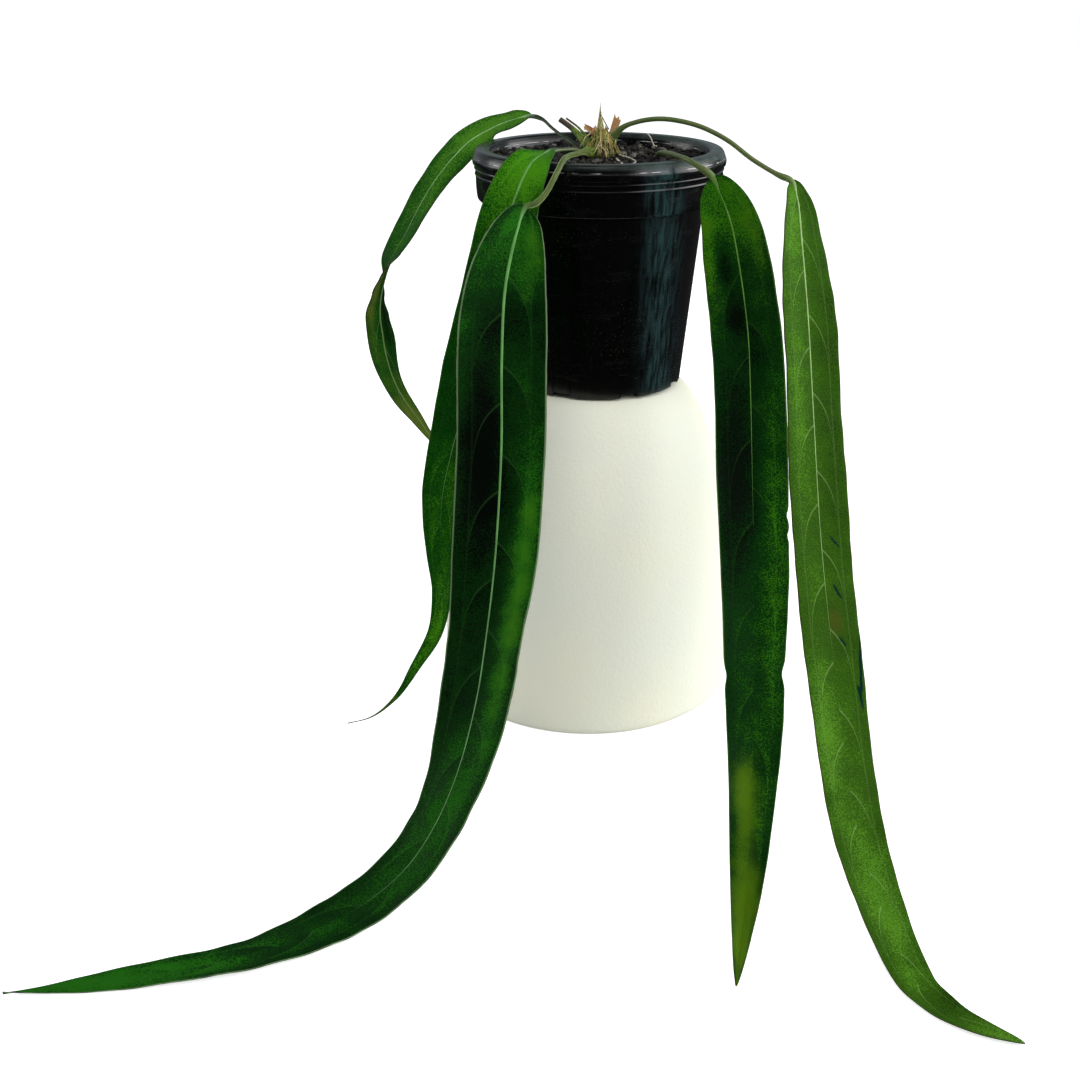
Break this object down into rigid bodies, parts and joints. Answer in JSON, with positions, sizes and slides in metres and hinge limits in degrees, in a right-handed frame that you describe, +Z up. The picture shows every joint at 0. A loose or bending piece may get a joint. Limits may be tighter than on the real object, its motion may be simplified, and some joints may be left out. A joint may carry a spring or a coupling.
{
  "type": "potted anthurium",
  "caption": "Potted strap-leaf anthurium: long narrow leaves hang from a black nursery pot standing on a cream upturned planter.",
  "frame": {"origin": "middle of the bounding box, on the surface that the stand and the leaf tips rest on", "axes": "+X to the right across the leaves, +Y from the front leaf tips back to the pot, +Z up"},
  "size_m": [0.4888, 0.462, 0.3825],
  "materials": {
    "stand": "matt cream, finely stippled",
    "pot": "moulded black polypropylene, glossy",
    "mix": "dark bark and peat chunks, rough",
    "crown": "green stem, satin",
    "sheath": "dry papery fibre, matt",
    "spear": "rolled young leaf, satin",
    "leaf_back_left": "leathery green leaf, velvety satin",
    "leaf_front_left": "dark leathery leaf, velvety satin",
    "leaf_middle_left": "leathery green leaf, velvety satin",
    "leaf_front_right": "dark leathery leaf, velvety satin",
    "leaf_far_right": "lighter leathery leaf, satin",
    "root": "dry pale root, matt"
  },
  "bodies": {
    "root": {"stand_planter": "stand", "nursery_pot": "pot", "potting_mix": "mix", "crown_stem": "crown", "crown_sheaths": "sheath", "new_leaf_spear": "spear", "leaf_back_left": "leaf_back_left", "leaf_front_left": "leaf_front_left", "leaf_middle_left": "leaf_middle_left", "leaf_front_right": "leaf_front_right", "leaf_far_right": "leaf_far_right", "dry_root_front": "root", "dry_root_side": "root", "dry_root_back": "root"}
  },
  "joints": []
}
